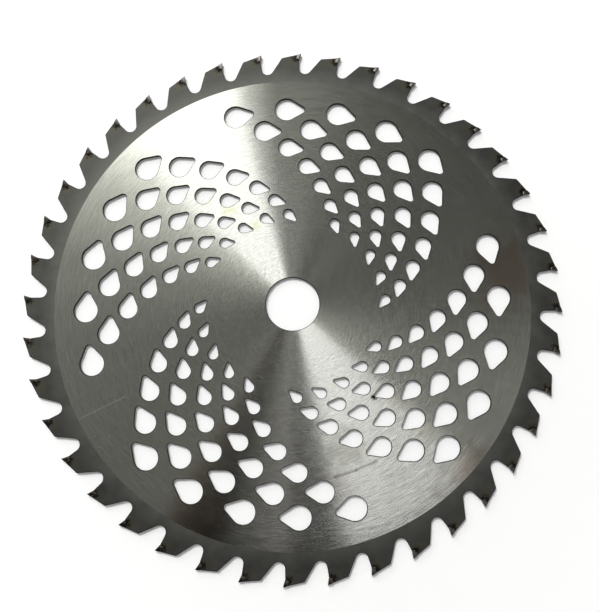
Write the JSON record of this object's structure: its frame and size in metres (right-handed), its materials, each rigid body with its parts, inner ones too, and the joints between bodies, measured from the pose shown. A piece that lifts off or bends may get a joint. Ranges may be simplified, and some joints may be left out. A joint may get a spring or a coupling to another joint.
{
  "type": "brush cutter blade",
  "caption": "Flat round steel cutting disc with carbide-tipped teeth, spiral groups of teardrop holes and a central arbor bore.",
  "frame": {"origin": "on the bore's axis, in the plane that the undersides of the cutting tips rest on", "axes": "+Z along the bore's axis, up from the face that the blade lies on; +X through the first tooth's cutting edge"},
  "size_m": [0.255, 0.255, 0.0024],
  "materials": {
    "plate_steel": "circular-ground satin steel disc with a dark heat-treated rim",
    "carbide": "fine-ground dark grey carbide, brazed",
    "braze_alloy": "dull golden-brown brazing alloy, oxidised"
  },
  "bodies": {
    "root": {"blade_plate": "plate_steel", "carbide_tip_01": "carbide", "carbide_tip_02": "carbide", "carbide_tip_03": "carbide", "carbide_tip_04": "carbide", "carbide_tip_05": "carbide", "carbide_tip_06": "carbide", "carbide_tip_07": "carbide", "carbide_tip_08": "carbide", "carbide_tip_09": "carbide", "carbide_tip_10": "carbide", "carbide_tip_11": "carbide", "carbide_tip_12": "carbide", "carbide_tip_13": "carbide", "carbide_tip_14": "carbide", "carbide_tip_15": "carbide", "carbide_tip_16": "carbide", "carbide_tip_17": "carbide", "carbide_tip_18": "carbide", "carbide_tip_19": "carbide", "carbide_tip_20": "carbide", "carbide_tip_21": "carbide", "carbide_tip_22": "carbide", "carbide_tip_23": "carbide", "carbide_tip_24": "carbide", "carbide_tip_25": "carbide", "carbide_tip_26": "carbide", "carbide_tip_27": "carbide", "carbide_tip_28": "carbide", "carbide_tip_29": "carbide", "carbide_tip_30": "carbide", "carbide_tip_31": "carbide", "carbide_tip_32": "carbide", "carbide_tip_33": "carbide", "carbide_tip_34": "carbide", "carbide_tip_35": "carbide", "carbide_tip_36": "carbide", "carbide_tip_37": "carbide", "carbide_tip_38": "carbide", "carbide_tip_39": "carbide", "carbide_tip_40": "carbide"}
  },
  "joints": []
}
